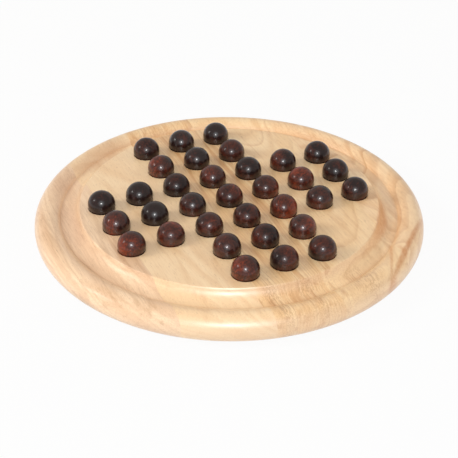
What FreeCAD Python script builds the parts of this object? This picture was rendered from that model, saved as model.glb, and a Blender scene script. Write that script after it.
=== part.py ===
"""Marble solitaire board: a turned round board glued up from five staves, and 33 wooden marbles.

The board is one turned disc: a flat playing surface with 33 round seats in a cross, a cove around it
that drops to a channel for captured marbles, and a round bead as the rim.
Frame: origin at the middle of the flat underside, +Z up, rows of seats along X and Y, millimetres.
"""

import FreeCAD, Part
import math
import os

# Board
BOARD_DIAMETER = 300.0
PLAYING_HEIGHT = 25.0
PLAYING_RADIUS = 114.5
EDGE_ROUND = 0.8

# Rim bead: a round section, cut flat where it meets the underside
BEAD_RADIUS = 11.1
BEAD_CREST_HEIGHT = 21.7
BEAD_CENTRE_R = BOARD_DIAMETER / 2 - BEAD_RADIUS
BEAD_CENTRE_Z = BEAD_CREST_HEIGHT - BEAD_RADIUS

# Channel between the playing surface and the bead
CHANNEL_HEIGHT = 17.0
COVE_RADIUS = 10.5
COVE_CENTRE_R = 125.5
COVE_CENTRE_Z = CHANNEL_HEIGHT + COVE_RADIUS
CREASE_ROUND = 0.9

# Marbles and their seats
MARBLE_RADIUS = 10.5
MARBLE_PITCH = 31.0
MARBLE_SINK = 6.9
SEAT_RADIUS = 11.0
SEAT_CLEARANCE = 0.2
SEAT_EDGE_ROUND = 0.6
GRID_STEPS = 3
ARM_STEPS = 1
COLUMN_LETTERS = "abcdefg"

# Staves: the blank is glued up edge to edge, with the glue lines square to X
GLUE_LINES_X = (-92.0, -32.0, 28.0, 88.0)

AXIS = FreeCAD.Vector(0, 0, 1)
ORIGIN = FreeCAD.Vector(0, 0, 0)


def on_profile(radius, height):
    """A point of the board's half section, which lies in the XZ plane."""
    return FreeCAD.Vector(radius, 0, height)


def arc_point(centre_r, centre_z, radius, degrees):
    """A point on a round stretch of the half section, by its angle from outwards to up."""
    angle = math.radians(degrees)
    return on_profile(centre_r + radius * math.cos(angle), centre_z + radius * math.sin(angle))


def arc_edge(centre_r, centre_z, radius, start, end):
    """A round stretch of the half section from one angle to another, in degrees."""
    points = [arc_point(centre_r, centre_z, radius, a) for a in (start, (start + end) / 2, end)]
    return Part.Arc(*points).toShape()


def board_blank():
    """The whole turned board before its seats are cut, as one solid of revolution."""
    # The cove starts a little below the playing surface, and the edge round joins the two.
    edge_bottom = PLAYING_HEIGHT - EDGE_ROUND
    cove_start = 180 + math.degrees(math.asin((COVE_CENTRE_Z - edge_bottom) / COVE_RADIUS))
    cove_top = arc_point(COVE_CENTRE_R, COVE_CENTRE_Z, COVE_RADIUS, cove_start)
    edge_inner = on_profile(PLAYING_RADIUS - EDGE_ROUND / 2, PLAYING_HEIGHT)
    edge_middle = on_profile(
        (edge_inner.x + cove_top.x) / 2 + EDGE_ROUND / 5, PLAYING_HEIGHT - EDGE_ROUND / 4
    )

    # The channel floor runs level to a small round, tangent to the floor and to the bead.
    crease_z = CHANNEL_HEIGHT + CREASE_ROUND
    reach = BEAD_RADIUS + CREASE_ROUND
    crease_r = BEAD_CENTRE_R - math.sqrt(reach**2 - (crease_z - BEAD_CENTRE_Z) ** 2)
    toward_bead = math.degrees(math.atan2(BEAD_CENTRE_Z - crease_z, BEAD_CENTRE_R - crease_r))
    bead_end = -math.degrees(math.asin(BEAD_CENTRE_Z / BEAD_RADIUS))
    floor_start = on_profile(COVE_CENTRE_R, CHANNEL_HEIGHT)
    floor_end = on_profile(crease_r, CHANNEL_HEIGHT)
    underside_edge = arc_point(BEAD_CENTRE_R, BEAD_CENTRE_Z, BEAD_RADIUS, bead_end)

    section = Part.Wire([
        Part.LineSegment(ORIGIN, on_profile(0, PLAYING_HEIGHT)).toShape(),
        Part.LineSegment(on_profile(0, PLAYING_HEIGHT), edge_inner).toShape(),
        Part.Arc(edge_inner, edge_middle, cove_top).toShape(),
        arc_edge(COVE_CENTRE_R, COVE_CENTRE_Z, COVE_RADIUS, cove_start, 270),
        Part.LineSegment(floor_start, floor_end).toShape(),
        arc_edge(crease_r, crease_z, CREASE_ROUND, -90, toward_bead),
        arc_edge(BEAD_CENTRE_R, BEAD_CENTRE_Z, BEAD_RADIUS, 180 + toward_bead, bead_end),
        Part.LineSegment(underside_edge, ORIGIN).toShape(),
    ])
    return Part.Face(section).revolve(ORIGIN, AXIS, 360)


def marble_places():
    """Each marble's name and the place of its seat: a cross of three by seven and seven by three."""
    places = {}
    for column in range(-GRID_STEPS, GRID_STEPS + 1):
        for row in range(-GRID_STEPS, GRID_STEPS + 1):
            if abs(column) <= ARM_STEPS or abs(row) <= ARM_STEPS:
                name = f"marble_{COLUMN_LETTERS[column + GRID_STEPS]}{row + GRID_STEPS + 1}"
                places[name] = (column * MARBLE_PITCH, row * MARBLE_PITCH)
    return places


def seat_cutter():
    """The space that one seat takes out of the board: a round bottom and a rounded mouth."""
    depth = MARBLE_SINK + SEAT_CLEARANCE
    centre_z = PLAYING_HEIGHT - depth + SEAT_RADIUS
    # The mouth round is an arc outside the seat's sphere, tangent to it and to the playing surface.
    round_z = PLAYING_HEIGHT - SEAT_EDGE_ROUND
    reach = SEAT_RADIUS + SEAT_EDGE_ROUND
    round_r = math.sqrt(reach**2 - (centre_z - round_z) ** 2)
    toward_sphere = math.degrees(math.atan2(centre_z - round_z, -round_r))
    sphere_angle = toward_sphere - 180
    above = PLAYING_HEIGHT + 1
    section = Part.Wire([
        arc_edge(0, centre_z, SEAT_RADIUS, -90, sphere_angle),
        arc_edge(round_r, round_z, SEAT_EDGE_ROUND, toward_sphere, 90),
        Part.LineSegment(on_profile(round_r, PLAYING_HEIGHT), on_profile(round_r, above)).toShape(),
        Part.LineSegment(on_profile(round_r, above), on_profile(0, above)).toShape(),
        Part.LineSegment(on_profile(0, above), on_profile(0, centre_z - SEAT_RADIUS)).toShape(),
    ])
    return Part.Face(section).revolve(ORIGIN, AXIS, 360)


def moved(shape, x, y):
    """A copy of a shape, shifted in the plane of the board."""
    copy = shape.copy()
    copy.translate(FreeCAD.Vector(x, y, 0))
    return copy


def board_staves(places):
    """The staves of the finished board by name, from the -X edge to the +X edge."""
    cutter = seat_cutter()
    board = board_blank().cut([moved(cutter, x, y) for x, y in places.values()])
    reach = BOARD_DIAMETER
    edges = (-reach / 2 - 1, *GLUE_LINES_X, reach / 2 + 1)
    staves = {}
    for number, (left, right) in enumerate(zip(edges, edges[1:]), start=1):
        slab = Part.makeBox(right - left, reach + 2, reach, FreeCAD.Vector(left, -reach / 2 - 1, -1))
        staves[f"board_stave_{number}"] = board.common(slab)
    return staves


def marbles(places):
    """A solid ball in every seat."""
    centre_z = PLAYING_HEIGHT - MARBLE_SINK + MARBLE_RADIUS
    ball = Part.makeSphere(MARBLE_RADIUS)
    ball.translate(FreeCAD.Vector(0, 0, centre_z))
    return {name: moved(ball, x, y) for name, (x, y) in places.items()}


def main():
    os.makedirs("parts", exist_ok=True)
    places = marble_places()
    for name, shape in {**board_staves(places), **marbles(places)}.items():
        assert shape.isValid() and len(shape.Solids) == 1, name
        shape.Solids[0].exportStep(f"parts/{name}.step")
        print(f"{name}: {shape.Volume / 1000:.1f} cm3")


main()
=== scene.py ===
import math
import random
from collections import namedtuple

import bpy
from mathutils import Matrix, Quaternion, Vector


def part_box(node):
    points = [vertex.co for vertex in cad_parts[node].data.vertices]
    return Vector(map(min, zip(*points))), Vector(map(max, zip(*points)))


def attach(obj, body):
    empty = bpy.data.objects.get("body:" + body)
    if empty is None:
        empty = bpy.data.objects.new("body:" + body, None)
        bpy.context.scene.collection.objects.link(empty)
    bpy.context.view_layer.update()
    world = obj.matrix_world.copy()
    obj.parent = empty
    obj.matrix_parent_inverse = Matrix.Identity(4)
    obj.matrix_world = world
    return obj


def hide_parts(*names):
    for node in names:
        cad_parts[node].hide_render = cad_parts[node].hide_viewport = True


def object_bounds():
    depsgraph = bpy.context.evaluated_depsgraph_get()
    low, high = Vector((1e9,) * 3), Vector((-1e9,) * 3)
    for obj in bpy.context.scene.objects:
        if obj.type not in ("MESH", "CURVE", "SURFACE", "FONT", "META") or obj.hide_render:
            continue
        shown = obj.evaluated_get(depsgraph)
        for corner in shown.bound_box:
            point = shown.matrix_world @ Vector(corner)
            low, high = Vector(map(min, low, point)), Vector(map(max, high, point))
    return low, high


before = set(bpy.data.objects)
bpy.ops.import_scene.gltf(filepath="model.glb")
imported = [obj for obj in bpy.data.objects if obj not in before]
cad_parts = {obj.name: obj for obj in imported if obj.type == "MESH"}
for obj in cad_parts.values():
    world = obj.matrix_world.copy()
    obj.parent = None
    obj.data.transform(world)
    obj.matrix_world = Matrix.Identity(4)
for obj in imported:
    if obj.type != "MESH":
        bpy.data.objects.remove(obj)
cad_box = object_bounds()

# A marble solitaire board: five staves of pale wood, glued edge to edge and turned as one disc, and
# a cross of dark wooden balls in its seats. Lengths are in metres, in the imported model's own frame.

MM = 0.001

# The board's turned shape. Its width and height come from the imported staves.
BOARD_RADIUS = cad_box[1].x
PLAYING_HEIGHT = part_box("board_stave_3")[1].z
PLAYING_RADIUS = 114.5 * MM
EDGE_ROUND = 0.8 * MM
CHANNEL_HEIGHT = 17.0 * MM
COVE_RADIUS = 10.5 * MM
COVE_CENTRE_R = 125.5 * MM
BEAD_RADIUS = 11.1 * MM
BEAD_CREST_HEIGHT = 21.7 * MM
CREASE_ROUND = 0.9 * MM

# The seats
SEAT_RADIUS = 11.0 * MM
SEAT_DEPTH = 7.1 * MM
SEAT_EDGE_ROUND = 0.6 * MM

# How finely the round shapes are divided, below what angle an edge is smooth (degrees), how near a point is
# to a rim that it belongs to, and how near two points are welded into one
TURNS_OF_BOARD = 360
TURNS_OF_SEAT = 64
COVE_STEPS = 20
BEAD_STEPS = 44
SEAT_STEPS = 12
SMALL_ROUND_STEPS = 4
BALL_CUTS = 23
SMOOTH_BELOW = 32
ON_RIM = 0.01 * MM
WELD = 0.005 * MM

BALL_NODES = sorted(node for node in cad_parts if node.startswith("marble_"))
STAVE_NODES = sorted(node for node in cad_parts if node.startswith("board_stave_"))


# ---------------------------------------------------------------- node sheets


def tint(red, green, blue):
    """A colour as it shows on screen, 0 to 255, made linear for a shader."""
    linear = []
    for level in (red, green, blue):
        share = level / 255
        linear.append(share / 12.92 if share <= 0.04045 else ((share + 0.055) / 1.055) ** 2.4)
    return (*linear, 1.0)


class Value:
    """A number that varies over a surface. Arithmetic on it adds Math nodes to its sheet."""

    def __init__(self, sheet, socket):
        self.sheet = sheet
        self.socket = socket

    def __add__(self, other):
        return self.sheet.maths("ADD", self, other)

    def __sub__(self, other):
        return self.sheet.maths("SUBTRACT", self, other)

    def __rsub__(self, other):
        return self.sheet.maths("SUBTRACT", other, self)

    def __mul__(self, other):
        return self.sheet.maths("MULTIPLY", self, other)

    def __truediv__(self, other):
        return self.sheet.maths("DIVIDE", self, other)

    def __pow__(self, other):
        return self.sheet.maths("POWER", self, other)

    __radd__ = __add__
    __rmul__ = __mul__


class Sheet:
    """The node sheet of one material, or of the world."""

    def __init__(self, owner):
        self.owner = owner
        owner.use_nodes = True
        self.tree = owner.node_tree
        self.tree.nodes.clear()

    def node(self, kind, settings=None, inputs=None):
        """Adds a node, sets it up, fills its sockets, and returns its outputs by name or number."""
        made = self.tree.nodes.new(kind)
        for name, setting in (settings or {}).items():
            setattr(made, name, setting)
        for key, given in (inputs or {}).items():
            socket = made.inputs[key]
            if isinstance(given, Value):
                self.tree.links.new(given.socket, socket)
            else:
                socket.default_value = given
        return lambda key: Value(self, made.outputs[key])

    def maths(self, operation, *given):
        return self.node("ShaderNodeMath", {"operation": operation}, dict(enumerate(given)))(0)

    def vector_maths(self, operation, *given):
        return self.node("ShaderNodeVectorMath", {"operation": operation}, dict(enumerate(given)))(0)

    def object_place(self):
        """Where a point lies on the object, in millimetres."""
        place = self.node("ShaderNodeTexCoord")("Object")
        return self.vector_maths("MULTIPLY", place, (1000, 1000, 1000))

    def parts(self, vector):
        made = self.node("ShaderNodeSeparateXYZ", inputs={0: vector})
        return made(0), made(1), made(2)

    def noise(self, place, per_mm, detail=2.0, roughness=0.5, output=0):
        """Noise whose cells per millimetre may differ along X, Y and Z."""
        scaled = self.vector_maths("MULTIPLY", place, per_mm)
        inputs = {"Vector": scaled, "Scale": 1.0, "Detail": detail, "Roughness": roughness}
        return self.node("ShaderNodeTexNoise", {"noise_dimensions": "3D"}, inputs)(output)

    def noise_along(self, value, detail=1.0):
        """Noise that depends on one number only."""
        inputs = {"W": value, "Scale": 1.0, "Detail": detail, "Roughness": 0.6}
        return self.node("ShaderNodeTexNoise", {"noise_dimensions": "1D"}, inputs)(0)

    def ramp(self, value, low, high):
        """0 at low, 1 at high, and smooth between."""
        inputs = {"Value": value, "From Min": low, "From Max": high}
        return self.node("ShaderNodeMapRange", {"interpolation_type": "SMOOTHSTEP"}, inputs)(0)

    def mix(self, share, first, second):
        """The first colour where the share is 0, and the second where it is 1."""
        return self.node("ShaderNodeMix", {"data_type": "RGBA"}, {0: share, 6: first, 7: second})(2)

    def mix_shaders(self, share, first, second):
        return self.node("ShaderNodeMixShader", inputs={0: share, 1: first, 2: second})(0)

    def bump(self, height, distance, strength):
        inputs = {"Height": height, "Distance": distance, "Strength": strength}
        return self.node("ShaderNodeBump", inputs=inputs)(0)

    def finish(self, shader, output="ShaderNodeOutputMaterial"):
        self.node(output, inputs={"Surface": shader})
        return self.owner

    def lacquered(self, inputs):
        return self.finish(self.node("ShaderNodeBsdfPrincipled", inputs=inputs)(0))


def material_sheet(name):
    return Sheet(bpy.data.materials.new(name))


# ---------------------------------------------------------------- wood of the staves

# How each stave was sawn: where the log's middle lay (X and Z, mm), how fast its rings widen along
# the stave, how far apart they are, and its colours.
STAVE_CUTS = {
    "board_stave_1": {
        "pith": (-60.0, 95.0), "taper": 0.05, "ring": 4.2, "ring_show": 0.34,
        "pale": tint(248, 213, 175), "tan": tint(232, 191, 152), "streak": tint(198, 150, 104),
        "streak_low": 0.52, "streak_high": 0.68, "streak_show": 0.45, "fibre_show": 0.22,
    },
    "board_stave_2": {
        "pith": (-95.0, -70.0), "taper": 0.03, "ring": 5.0, "ring_show": 0.24,
        "pale": tint(251, 219, 176), "tan": tint(242, 203, 156), "streak": tint(216, 166, 114),
        "streak_low": 0.56, "streak_high": 0.72, "streak_show": 0.40, "fibre_show": 0.12,
    },
    "board_stave_3": {
        "pith": (-140.0, 6.0), "taper": 0.01, "ring": 2.6, "ring_show": 0.40,
        "pale": tint(250, 215, 166), "tan": tint(238, 192, 136), "streak": tint(196, 134, 76),
        "streak_low": 0.50, "streak_high": 0.66, "streak_show": 0.50, "fibre_show": 0.24,
    },
    "board_stave_4": {
        "pith": (50.0, -46.0), "taper": -0.20, "ring": 4.6, "ring_show": 0.44,
        "pale": tint(252, 219, 173), "tan": tint(243, 202, 150), "streak": tint(208, 154, 98),
        "streak_low": 0.54, "streak_high": 0.74, "streak_show": 0.42, "fibre_show": 0.20,
    },
    "board_stave_5": {
        "pith": (102.0, -50.0), "taper": -0.27, "ring": 5.6, "ring_show": 0.60,
        "pale": tint(252, 217, 172), "tan": tint(243, 199, 148), "streak": tint(200, 136, 72),
        "streak_low": 0.52, "streak_high": 0.78, "streak_show": 0.30, "fibre_show": 0.24,
    },
}

# A darker mark in the wood (one band, on the cove wall, is partly painted shade): its middle (X and Y, mm),
# its half width and half length (mm), how far its long way leans from Y (degrees), how strong it is, how much
# of it is fine lines along the grain, its colour, and how its long way curves toward the board's middle
# (1/mm).
Mark = namedtuple("Mark", "middle half lean strength lined colour bend", defaults=(0.0,))
ORANGE_BROWN = tint(196, 114, 36)
RIM_LINE = Mark((95.0, -106.5), (2.6, 58.0), 46.0, 0.80, 0.35, ORANGE_BROWN)
INNER_LINE = Mark((77.0, -114.0), (1.8, 30.0), 30.0, 0.55, 0.3, ORANGE_BROWN)
# Partly the wood's own orange tone and partly painted shade on the right cove wall, which faces away from the
# left lamp.
COVE_WALL_TONE_AND_SHADE = Mark((95.5, -69.4), (4.4, 50.0), 36.0, 0.72, 0.35, tint(214, 136, 58), 0.0042)
MARKS = {
    "board_stave_1": [
        Mark((-120.0, 28.0), (9.0, 40.0), 8.0, 0.40, 0.3, tint(198, 152, 122)),
        Mark((-141.0, 8.0), (6.0, 44.0), 0.0, 0.40, 0.5, tint(206, 156, 106)),
        Mark((-104.0, 86.0), (9.0, 34.0), 40.0, 0.45, 0.3, tint(198, 154, 122)),
        Mark((-128.0, -66.0), (4.0, 24.0), -27.0, 0.34, 0.5, tint(200, 150, 98)),
    ],
    "board_stave_2": [
        Mark((-68.0, 112.0), (12.0, 38.0), 58.0, 0.50, 0.2, tint(200, 152, 114)),
        Mark((-44.0, 128.0), (14.0, 10.0), 0.0, 0.36, 0.4, tint(206, 158, 112)),
        Mark((-78.0, -112.0), (4.0, 34.0), -55.0, 0.26, 0.5, tint(208, 160, 110)),
    ],
    "board_stave_3": [
        Mark((-22.0, -128.0), (7.0, 26.0), 0.0, 0.44, 0.8, tint(158, 108, 68)),
        Mark((4.0, -130.0), (8.0, 24.0), 0.0, 0.36, 0.8, tint(170, 114, 68)),
        Mark((-16.0, 60.0), (5.0, 76.0), 0.0, 0.30, 0.8, ORANGE_BROWN),
        Mark((15.0, -30.0), (5.0, 96.0), 0.0, 0.28, 0.8, ORANGE_BROWN),
        Mark((-2.0, 118.0), (16.0, 26.0), 0.0, 0.40, 0.6, tint(200, 146, 92)),
    ],
    "board_stave_4": [
        Mark((46.0, -128.0), (15.0, 20.0), 8.0, 0.44, 0.8, tint(172, 116, 70)),
        RIM_LINE,
        INNER_LINE,
        COVE_WALL_TONE_AND_SHADE,
        Mark((76.0, 92.0), (12.0, 26.0), -40.0, 0.30, 0.5, tint(210, 154, 110)),
        Mark((47.0, 8.0), (4.0, 60.0), 0.0, 0.34, 0.8, tint(202, 146, 92)),
    ],
    "board_stave_5": [
        COVE_WALL_TONE_AND_SHADE,
        RIM_LINE,
        Mark((121.0, -34.0), (4.0, 36.0), 15.0, 0.26, 0.2, tint(198, 150, 120)),
        Mark((114.0, 62.0), (6.0, 34.0), -29.0, 0.40, 0.4, tint(206, 152, 108)),
    ],
}


# How many cells of noise there are per millimetre along X, Y and Z. Y is the way the grain runs.
SWAY_CELLS = (0.018, 0.006, 0.018)
STREAK_CELLS = (0.13, 0.006, 0.13)
FIBRE_CELLS = (1.1, 0.03, 1.1)
FINE_FIBRE_CELLS = (4.0, 0.09, 4.0)
PORE_CELLS = (3.4, 0.22, 3.4)
CLOUD_CELLS = (0.06, 0.03, 0.06)
HANDLED_CELLS = (0.05, 0.05, 0.05)

# How far the rings and streaks sway from side to side, and how far apart two staves lie in the noise (mm)
SWAY_REACH = (26.0, 0.0, 26.0)
STAVE_STEP = (613.0, 271.0, 419.0)
STREAK_STEP = 97.0

FINE_LINE_BROWN = tint(176, 122, 74)
PORE_BROWN = tint(150, 98, 58)
# The colour of the painted shade in the crease
CREASE_SHADE_AMBER = tint(206, 148, 92)
END_GRAIN_PINK = tint(222, 188, 160)


def distance_from_pith(sheet, bent, cut):
    x, y, z = sheet.parts(bent)
    across = x - cut["pith"][0]
    up = z - cut["pith"][1]
    return (across * across + up * up) ** 0.5 + y * cut["taper"]


def growth_rings(sheet, from_pith, cut):
    """Each ring darkens slowly and ends in a thin line, and some rings show more than others."""
    ring = from_pith / cut["ring"]
    uneven = ring + sheet.noise_along(ring * 0.6) * 0.9
    part_of_ring = sheet.maths("FRACT", uneven)
    late_wood = sheet.ramp(part_of_ring, 0.35, 0.92) * (1 - sheet.ramp(part_of_ring, 0.93, 1.0))
    some_rings = sheet.ramp(sheet.noise_along(ring * 0.37 + 40.0), 0.35, 0.7)
    return late_wood * some_rings


def brown_streaks(sheet, bent, cut, number):
    moved = sheet.vector_maths("ADD", bent, (number * STREAK_STEP, 0.0, 0.0))
    noise = sheet.noise(moved, STREAK_CELLS, 3.0, 0.62)
    return sheet.ramp(noise, cut["streak_low"], cut["streak_high"])


def end_grain(sheet):
    """1 where the surface faces along the grain."""
    _, facing_end, _ = sheet.parts(sheet.node("ShaderNodeTexCoord")("Normal"))
    return sheet.ramp(sheet.maths("ABSOLUTE", facing_end), 0.45, 0.95)


def mark_share(sheet, mark, x, y, cloud, lines):
    """How much of a mark shows at a place: most at its middle, and nothing beyond its uneven edge."""
    lean_x, lean_y = math.sin(math.radians(mark.lean)), math.cos(math.radians(mark.lean))
    off_x, off_y = x - mark.middle[0], y - mark.middle[1]
    forward = off_x * lean_x + off_y * lean_y
    aside = (off_x * lean_y - off_y * lean_x + forward * forward * mark.bend) / mark.half[0]
    along = forward / mark.half[1]
    far = (aside * aside + along * along) ** 0.5 + (cloud - 0.5) * 0.8
    solid_or_lined = 1 - mark.lined + lines * mark.lined
    return (1 - sheet.ramp(far, 0.3, 1.15)) * solid_or_lined * mark.strength


def stave_wood(node, cut, number):
    """Pale close-grained wood under satin lacquer, cut from a log whose grain runs along Y."""
    sheet = material_sheet(f"{node}_wood")
    place = sheet.object_place()
    own = sheet.vector_maths("ADD", place, tuple(number * step for step in STAVE_STEP))

    # The log isn't straight: its rings and streaks sway along the grain.
    sway = sheet.vector_maths("SUBTRACT", sheet.noise(own, SWAY_CELLS, output=1), (0.5, 0.5, 0.5))
    bent = sheet.vector_maths("ADD", place, sheet.vector_maths("MULTIPLY", sway, SWAY_REACH))
    from_pith = distance_from_pith(sheet, bent, cut)

    # Broad bands, fibres and pores run along the grain.
    band = sheet.ramp(sheet.noise_along(from_pith * 0.11 + number * 5.0, 2.0), 0.35, 0.65)
    fibre = sheet.noise(own, FIBRE_CELLS, 3.0, 0.62)
    fine_fibre = sheet.noise(own, FINE_FIBRE_CELLS, 2.0, 0.6)
    pores = sheet.ramp(sheet.noise(own, PORE_CELLS, 1.0), 0.64, 0.77)
    lines = sheet.ramp(fibre, 0.44, 0.60)

    colour = sheet.mix(band * 0.75, cut["pale"], cut["tan"])
    rings = growth_rings(sheet, from_pith, cut)
    colour = sheet.mix(rings * cut["ring_show"], colour, cut["streak"])
    streaks = brown_streaks(sheet, bent, cut, number)
    colour = sheet.mix(streaks * cut["streak_show"], colour, cut["streak"])
    colour = sheet.mix(end_grain(sheet) * 0.30, colour, END_GRAIN_PINK)

    flat_x, flat_y, _ = sheet.parts(place)
    cloud = sheet.noise(own, CLOUD_CELLS, 3.0, 0.6)
    # Darker marks; the band on the right cove wall among them is partly painted shade.
    for mark in MARKS[node]:
        colour = sheet.mix(mark_share(sheet, mark, flat_x, flat_y, cloud, lines), colour, mark.colour)

    colour = sheet.mix(lines * cut["fibre_show"], colour, cut["streak"])
    colour = sheet.mix(sheet.ramp(fine_fibre, 0.48, 0.72) * 0.22, colour, FINE_LINE_BROWN)
    colour = sheet.mix(pores * 0.58, colour, PORE_BROWN)

    # Painted shade: an amber tint darkens the crease between the channel and the bead.
    out = (flat_x * flat_x + flat_y * flat_y) ** 0.5
    crease = 1 - sheet.ramp(sheet.maths("ABSOLUTE", out - CREASE_R / MM), 0.2, 3.0)
    colour = sheet.mix(crease * 0.26, colour, CREASE_SHADE_AMBER)

    handled = sheet.noise(own, HANDLED_CELLS, 3.0)
    return sheet.lacquered({
        "Base Color": colour,
        "Roughness": 0.44 + handled * 0.14 + pores * 0.12,
        "Coat Weight": 0.75 + handled * 0.2,
        "Coat Roughness": 0.34,
        "Coat IOR": 1.9,
        "Normal": sheet.bump((1 - pores) * 0.5 + (1 - fine_fibre) * 0.25 + fibre * 0.25, 0.00006, 0.6),
    })


# ---------------------------------------------------------------- wood of the balls

# The balls were turned from dark heartwood, and some kept a warm red side.
RED_BALLS = ("marble_a3", "marble_c1", "marble_e3", "marble_f4")
WARM_BALLS = ("marble_a4", "marble_b3", "marble_c6", "marble_d1", "marble_e2", "marble_e4", "marble_f3")
BLACK_BALLS = (
    "marble_a5", "marble_b4", "marble_b5", "marble_c5", "marble_d6", "marble_d7", "marble_e5",
    "marble_e7", "marble_g4",
)
RED_SHARE, WARM_SHARE, BROWN_SHARE, BLACK_SHARE = 0.60, 0.47, 0.37, 0.10

# Where a ball's warm side faces, for those on which it shows
WARM_TO_LEFT = ("marble_a3", "marble_a4", "marble_c1", "marble_c6", "marble_f5")
WARM_TO_RIGHT = ("marble_d1", "marble_e2", "marble_e3", "marble_e4")
WARM_ON_TOP = ("marble_b3", "marble_d5", "marble_e6", "marble_f4")
LEFT, RIGHT, TOP = Vector((-0.95, 0.05, 0.2)), Vector((0.8, -0.6, 0.2)), Vector((0.0, -0.1, 0.95))

HEART_BLACK = tint(29, 12, 10)
HEART_BROWN = tint(68, 27, 16)
HEART_RED = tint(124, 46, 20)
SPECKLE_TAN = tint(112, 60, 40)
PORE_BLACK = tint(14, 7, 7)

FIGURE_CELLS = (0.11, 0.04, 0.11)
MOTTLE_CELLS = (0.62, 0.30, 0.62)
SPECKLE_CELLS = (1.7, 1.2, 1.7)
BALL_PORE_CELLS = (2.0, 0.40, 2.0)

# The seed of every random draw, how far from the blank's middle a ball may lie along each axis (mm), how far
# a ball's warmth may be from its kind's, and how well the balls are polished
BALL_SEED = 33
BLANK_REACH = 400
WARMTH_SPREAD = 0.05
POLISH_LOW, POLISH_HIGH = 0.65, 1.0


def ball_wood():
    """Nearly black polished heartwood with red-brown figure. Each ball carries its own place in the blank."""
    sheet = material_sheet("dark_ball_wood")
    place = sheet.node("ShaderNodeAttribute", {"attribute_name": "place_in_blank"})("Vector")
    warmth = sheet.node("ShaderNodeAttribute", {"attribute_name": "warmth"})("Fac")
    warm_side = sheet.node("ShaderNodeAttribute", {"attribute_name": "warm_side"})("Fac")
    polish = sheet.node("ShaderNodeAttribute", {"attribute_name": "polish"})("Fac")

    figure = sheet.noise(place, FIGURE_CELLS, 2.0, 0.5)
    mottle = sheet.noise(place, MOTTLE_CELLS, 3.0, 0.72)
    pores = sheet.ramp(sheet.noise(place, BALL_PORE_CELLS, 1.0), 0.54, 0.68)
    speckle = sheet.noise(place, SPECKLE_CELLS, 2.0, 0.7)

    warm = warmth + warm_side * (0.10 + warmth * 0.30) + (figure - 0.5) * 1.2 + (mottle - 0.5) * 1.5
    brown = sheet.ramp(warm, 0.08, 0.66)
    red = sheet.ramp(warm, 0.58, 1.15)
    colour = sheet.mix(brown, HEART_BLACK, HEART_BROWN)
    colour = sheet.mix(red, colour, HEART_RED)
    colour = sheet.mix(sheet.ramp(speckle, 0.52, 0.72) * (0.06 + brown * 0.18), colour, SPECKLE_TAN)
    colour = sheet.mix(pores * 0.55, colour, PORE_BLACK)

    return sheet.lacquered({
        "Base Color": colour,
        "Roughness": 0.40 + speckle * 0.12,
        "Specular IOR Level": 0.18,
        "Coat Weight": polish * (1 - pores * 0.3),
        "Coat Roughness": 0.16,
        "Coat IOR": 1.5,
        "Normal": sheet.bump(1 - pores * 0.8 + mottle * 0.1, 0.00004, 0.5),
    })


# ---------------------------------------------------------------- modelling helpers


def only(*objects):
    """Selects these objects and nothing else."""
    bpy.ops.object.select_all(action="DESELECT")
    for piece in objects:
        piece.select_set(True)
    bpy.context.view_layer.objects.active = objects[0]


def select_rim(piece, rim_r, rim_z):
    """In edit mode, selects exactly the vertices on a level circle round the Z axis."""
    bpy.ops.mesh.select_mode(type="VERT")
    bpy.ops.mesh.select_all(action="DESELECT")
    bpy.ops.object.mode_set(mode="OBJECT")
    for vertex in piece.data.vertices:
        off_r = math.hypot(vertex.co.x, vertex.co.y) - rim_r
        off_z = vertex.co.z - rim_z
        vertex.select = abs(off_r) < ON_RIM and abs(off_z) < ON_RIM
    bpy.ops.object.mode_set(mode="EDIT")


def arc(centre_r, centre_z, radius, start, end, steps):
    """Points along a round stretch of a half section, by angle from outwards to up, in degrees."""
    points = []
    for step in range(steps + 1):
        angle = math.radians(start + (end - start) * step / steps)
        points.append((centre_r + radius * math.cos(angle), centre_z + radius * math.sin(angle)))
    return points


def turned(name, section, turns, closed_by):
    """A half section, drawn by extruding its first point, and spun round the Z axis. Its rims are filled."""
    bpy.ops.object.select_all(action="DESELECT")
    first_r, first_z = section[0]
    bpy.ops.mesh.primitive_plane_add(size=MM, location=(first_r, 0, first_z))
    piece = bpy.context.object
    piece.name = name
    bpy.ops.object.transform_apply(location=True)
    bpy.ops.object.mode_set(mode="EDIT")
    bpy.ops.mesh.select_all(action="SELECT")
    bpy.ops.mesh.merge(type="CENTER")
    for (r, z), (next_r, next_z) in zip(section, section[1:]):
        move = {"value": (next_r - r, 0, next_z - z)}
        bpy.ops.mesh.extrude_region_move(TRANSFORM_OT_translate=move)
    bpy.ops.mesh.select_all(action="SELECT")
    bpy.ops.mesh.spin(steps=turns, angle=2 * math.pi, center=(0, 0, 0), axis=(0, 0, 1))
    bpy.ops.mesh.select_all(action="SELECT")
    bpy.ops.mesh.remove_doubles(threshold=WELD)
    for rim_r, rim_z in closed_by:
        select_rim(piece, rim_r, rim_z)
        bpy.ops.mesh.edge_face_add()
    bpy.ops.mesh.select_all(action="SELECT")
    bpy.ops.mesh.normals_make_consistent(inside=False)
    bpy.ops.object.mode_set(mode="OBJECT")
    return piece


def apply_modifier(piece, kind, **settings):
    only(piece)
    modifier = piece.modifiers.new(kind.lower(), kind)
    for name, setting in settings.items():
        setattr(modifier, name, setting)
    bpy.ops.object.modifier_apply(modifier=modifier.name)


def copied(piece, name):
    """A copy with its own mesh."""
    copy = piece.copy()
    copy.data = piece.data.copy()
    copy.name = name
    copy.data.name = name
    bpy.context.scene.collection.objects.link(copy)
    return copy


def smooth(piece):
    only(piece)
    bpy.ops.object.shade_smooth_by_angle(angle=math.radians(SMOOTH_BELOW))
    apply_modifier(piece, "WEIGHTED_NORMAL", mode="FACE_AREA", keep_sharp=True)


def discard(piece):
    mesh = piece.data
    bpy.data.objects.remove(piece)
    bpy.data.meshes.remove(mesh)


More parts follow.
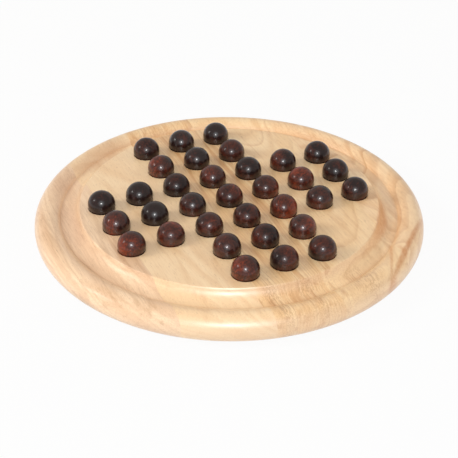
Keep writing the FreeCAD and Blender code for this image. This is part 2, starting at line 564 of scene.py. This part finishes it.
# ---------------------------------------------------------------- the turned board

BEAD_CENTRE_R = BOARD_RADIUS - BEAD_RADIUS
BEAD_CENTRE_Z = BEAD_CREST_HEIGHT - BEAD_RADIUS
COVE_CENTRE_Z = CHANNEL_HEIGHT + COVE_RADIUS


def crease_round():
    """Where the small round in the crease sits: tangent to the channel's floor and to the bead."""
    centre_z = CHANNEL_HEIGHT + CREASE_ROUND
    reach = BEAD_RADIUS + CREASE_ROUND
    centre_r = BEAD_CENTRE_R - math.sqrt(reach**2 - (centre_z - BEAD_CENTRE_Z) ** 2)
    toward_bead = math.degrees(math.atan2(BEAD_CENTRE_Z - centre_z, BEAD_CENTRE_R - centre_r))
    return centre_r, centre_z, toward_bead


CREASE_R = crease_round()[0]


def board_section():
    """The half section from the playing surface's edge, down the cove, over the bead to the underside."""
    edge_angle = 180 + math.degrees(math.asin((COVE_CENTRE_Z - PLAYING_HEIGHT + EDGE_ROUND) / COVE_RADIUS))
    cove = arc(COVE_CENTRE_R, COVE_CENTRE_Z, COVE_RADIUS, edge_angle, 270, COVE_STEPS)
    edge_r = cove[0][0]
    corner = (edge_r + PLAYING_RADIUS) / 2, PLAYING_HEIGHT - EDGE_ROUND / 4
    crease_r, crease_z, toward_bead = crease_round()
    crease = arc(crease_r, crease_z, CREASE_ROUND, -90, toward_bead, SMALL_ROUND_STEPS)
    underside = -math.degrees(math.asin(BEAD_CENTRE_Z / BEAD_RADIUS))
    bead = arc(BEAD_CENTRE_R, BEAD_CENTRE_Z, BEAD_RADIUS, toward_bead + 180, underside, BEAD_STEPS)
    return [(PLAYING_RADIUS - EDGE_ROUND / 2, PLAYING_HEIGHT), corner, *cove, *crease, *bead[1:]]


def seat_section():
    """The half section of what one seat takes out: a round bottom, a rounded mouth and some air above."""
    centre_z = PLAYING_HEIGHT - SEAT_DEPTH + SEAT_RADIUS
    round_z = PLAYING_HEIGHT - SEAT_EDGE_ROUND
    reach = SEAT_RADIUS + SEAT_EDGE_ROUND
    round_r = math.sqrt(reach**2 - (centre_z - round_z) ** 2)
    toward_seat = math.degrees(math.atan2(centre_z - round_z, -round_r))
    bowl = arc(0, centre_z, SEAT_RADIUS, -90, toward_seat - 180, SEAT_STEPS)
    mouth = arc(round_r, round_z, SEAT_EDGE_ROUND, toward_seat, 90, SMALL_ROUND_STEPS)
    above = PLAYING_HEIGHT + SEAT_DEPTH
    return [*bowl, *mouth[1:], (round_r, above)]


def seat_cutter():
    """One cutter for every seat, joined."""
    section = seat_section()
    first = turned("seat_cutter", section, TURNS_OF_SEAT, closed_by=[section[-1]])
    cutters = []
    for node in BALL_NODES:
        low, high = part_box(node)
        cutter = copied(first, f"seat_{node}")
        cutter.location = ((low.x + high.x) / 2, (low.y + high.y) / 2, 0)
        cutters.append(cutter)
    discard(first)
    only(*cutters)
    bpy.ops.object.transform_apply(location=True)
    bpy.ops.object.join()
    return cutters[0]


def turned_board():
    section = board_section()
    board = turned("turned_board", section, TURNS_OF_BOARD, closed_by=[section[0], section[-1]])
    cutter = seat_cutter()
    apply_modifier(board, "BOOLEAN", operation="DIFFERENCE", solver="EXACT", object=cutter)
    discard(cutter)
    return board


def keep_between(piece, left, right):
    """Cuts a piece off square to X on both sides and closes the cuts."""
    only(piece)
    bpy.ops.object.mode_set(mode="EDIT")
    for edge_x, outward in ((left, -1), (right, 1)):
        bpy.ops.mesh.select_all(action="SELECT")
        bpy.ops.mesh.bisect(
            plane_co=(edge_x, 0, 0), plane_no=(outward, 0, 0), use_fill=True, clear_outer=True,
        )
    bpy.ops.object.mode_set(mode="OBJECT")


def make_staves():
    """Saws the turned board apart at the glue lines. The outer staves keep their whole rim."""
    board = turned_board()
    for number, node in enumerate(STAVE_NODES, start=1):
        low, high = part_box(node)
        left = low.x if number > 1 else low.x - MM
        right = high.x if number < len(STAVE_NODES) else high.x + MM
        stave = copied(board, f"turned_stave_{number}")
        keep_between(stave, left, right)
        smooth(stave)
        stave.data.materials.append(stave_wood(node, STAVE_CUTS[node], number))
        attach(stave, "board")
        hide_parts(node)
    discard(board)


# ---------------------------------------------------------------- the balls


def ball_at_origin(radius):
    """A turned ball, built from a cube so that its faces are even."""
    bpy.ops.object.select_all(action="DESELECT")
    bpy.ops.mesh.primitive_cube_add(size=2 * radius)
    ball = bpy.context.object
    bpy.ops.object.mode_set(mode="EDIT")
    bpy.ops.mesh.select_all(action="SELECT")
    bpy.ops.mesh.subdivide(number_cuts=BALL_CUTS)
    bpy.ops.object.mode_set(mode="OBJECT")
    apply_modifier(ball, "CAST", cast_type="SPHERE", factor=1.0, size=radius, use_radius_as_size=False)
    return ball


def share_of_warmth(node):
    for balls, share in ((RED_BALLS, RED_SHARE), (WARM_BALLS, WARM_SHARE), (BLACK_BALLS, BLACK_SHARE)):
        if node in balls:
            return share
    return BROWN_SHARE


def warm_direction(node, chance):
    """Where the ball's warm side faces: as it lies on the board, or anywhere."""
    anywhere = Vector([chance.gauss(0, 1) for _ in range(3)])
    for balls, direction in ((WARM_TO_LEFT, LEFT), (WARM_TO_RIGHT, RIGHT), (WARM_ON_TOP, TOP)):
        if node in balls:
            return direction.normalized()
    return anywhere.normalized()


def record_on_points(mesh, name, kind, field, values):
    attribute = mesh.attributes.new(name, kind, "POINT")
    for point, value in zip(attribute.data, values):
        setattr(point, field, value)


def make_balls():
    chance = random.Random(BALL_SEED)
    low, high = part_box(BALL_NODES[0])
    first = ball_at_origin((high.z - low.z) / 2)
    wood = ball_wood()
    for node in BALL_NODES:
        low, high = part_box(node)
        ball = copied(first, node.replace("marble", "ball"))
        mesh = ball.data
        turn = Quaternion([chance.gauss(0, 1) for _ in range(4)]).normalized()
        shift = Vector([chance.uniform(-BLANK_REACH, BLANK_REACH) for _ in range(3)])
        side = warm_direction(node, chance)
        warmth = share_of_warmth(node) + chance.uniform(-WARMTH_SPREAD, WARMTH_SPREAD)
        polish = chance.uniform(POLISH_LOW, POLISH_HIGH)
        places = [turn @ (vertex.co / MM) + shift for vertex in mesh.vertices]
        nearness = [vertex.co.normalized().dot(side) for vertex in mesh.vertices]
        record_on_points(mesh, "place_in_blank", "FLOAT_VECTOR", "vector", places)
        record_on_points(mesh, "warm_side", "FLOAT", "value", nearness)
        record_on_points(mesh, "warmth", "FLOAT", "value", [warmth] * len(places))
        record_on_points(mesh, "polish", "FLOAT", "value", [polish] * len(places))
        mesh.transform(Matrix.Translation((low + high) / 2))
        mesh.shade_smooth()
        mesh.materials.append(wood)
        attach(ball, node)
        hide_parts(node)
    discard(first)


# ---------------------------------------------------------------- floor, light and camera

WHITE = (1.0, 1.0, 1.0, 1.0)
FLOOR_SIZE = 6.0
FLOOR_CELLS = (0.02, 0.02, 0.02)
FLOOR_SEEN_WHITE = 0.93
WORLD_LEVEL = 0.50
WORLD_COLOUR = (1.0, 0.975, 0.94, 1.0)

# Where the lamps stand, as seen from the board's middle
FROM_FRONT = Vector((-0.348, -0.757, 0.560))
FROM_LEFT = Vector((-0.812, 0.261, 0.520))
FROM_RIGHT = Vector((0.85, -0.20, 0.48))

CAMERA_FROM = Vector((-373.9, -787.1, 568.9)) * MM
CAMERA_AT = Vector((-17.1, -35.8, 25.0)) * MM
CAMERA_ROLL = math.radians(0.57)
CAMERA_LENS = 104.7


def seen_directly(sheet):
    """1 for what the camera sees, straight or in a reflection or through glass, and 0 for what lights."""
    rays = sheet.node("ShaderNodeLightPath")
    seen = sheet.maths("MAXIMUM", rays("Is Camera Ray"), rays("Is Glossy Ray"))
    return sheet.maths("MAXIMUM", seen, rays("Is Transmission Ray"))


def floor_finish():
    sheet = material_sheet("pale_floor")
    place = sheet.object_place()
    grain = sheet.noise(place, FLOOR_CELLS, 3.0)
    paper = sheet.mix(grain * 0.3, tint(224, 223, 221), tint(214, 213, 211))
    matt = sheet.node("ShaderNodeBsdfDiffuse", inputs={"Color": paper})(0)
    glow = sheet.node("ShaderNodeEmission", inputs={"Color": WHITE, "Strength": 1.0})(0)
    share = seen_directly(sheet) * FLOOR_SEEN_WHITE
    return sheet.finish(sheet.mix_shaders(share, matt, glow))


def make_floor():
    bpy.ops.object.select_all(action="DESELECT")
    bpy.ops.mesh.primitive_plane_add(size=FLOOR_SIZE, location=(0, 0, 0))
    floor = bpy.context.object
    floor.name = "floor"
    floor.data.materials.append(floor_finish())


def make_world():
    """A dim warm room that lights the board, with a white backdrop that only the camera sees."""
    sheet = Sheet(bpy.data.worlds.new("studio"))
    room = sheet.node("ShaderNodeBackground", inputs={"Color": WORLD_COLOUR, "Strength": WORLD_LEVEL})(0)
    backdrop = sheet.node("ShaderNodeBackground", inputs={"Color": WHITE, "Strength": 1.0})(0)
    seen = sheet.node("ShaderNodeLightPath")("Is Camera Ray")
    shown = sheet.mix_shaders(seen, room, backdrop)
    bpy.context.scene.world = sheet.finish(shown, "ShaderNodeOutputWorld")


def add_lamp(name, direction, distance, size, watts, colour=(1.0, 1.0, 1.0), mirrored=True):
    """A round soft lamp that faces the middle of the board. One that isn't mirrored leaves no highlight."""
    lamp = bpy.data.lights.new(name, "AREA")
    lamp.shape = "DISK"
    lamp.size = size
    lamp.energy = watts
    lamp.color = colour
    holder = bpy.data.objects.new(name, lamp)
    holder.visible_glossy = mirrored
    bpy.context.scene.collection.objects.link(holder)
    toward = direction.normalized()
    holder.location = toward * distance + Vector((0, 0, PLAYING_HEIGHT))
    holder.rotation_mode = "QUATERNION"
    holder.rotation_quaternion = (-toward).to_track_quat("-Z", "Y")


def make_lamps():
    """Two lamps in front, a strong and a small one on the left, and a weak one on the right."""
    add_lamp("front_lamp", FROM_FRONT, 3.0, 0.60, 28.0)
    add_lamp("front_softbox", FROM_FRONT, 3.1, 2.60, 23.0, (0.84, 0.94, 1.0))
    add_lamp("left_lamp", FROM_LEFT, 3.0, 1.20, 34.0, (1.0, 0.98, 0.94), mirrored=False)
    add_lamp("left_glint", FROM_LEFT, 2.9, 0.60, 6.0, (1.0, 0.98, 0.95))
    add_lamp("right_lamp", FROM_RIGHT, 3.0, 0.90, 8.0, mirrored=False)


def make_camera():
    camera = bpy.data.objects.new("camera", bpy.data.cameras.new("camera"))
    bpy.context.scene.collection.objects.link(camera)
    camera.data.lens = CAMERA_LENS
    camera.location = CAMERA_FROM
    camera.rotation_mode = "QUATERNION"
    aim = (CAMERA_AT - CAMERA_FROM).to_track_quat("-Z", "Y")
    camera.rotation_quaternion = aim @ Quaternion((0, 0, 1), CAMERA_ROLL)
    bpy.context.scene.camera = camera


make_staves()
make_balls()
make_floor()
make_world()
make_lamps()
make_camera()
bpy.context.scene.view_settings.view_transform = "Standard"
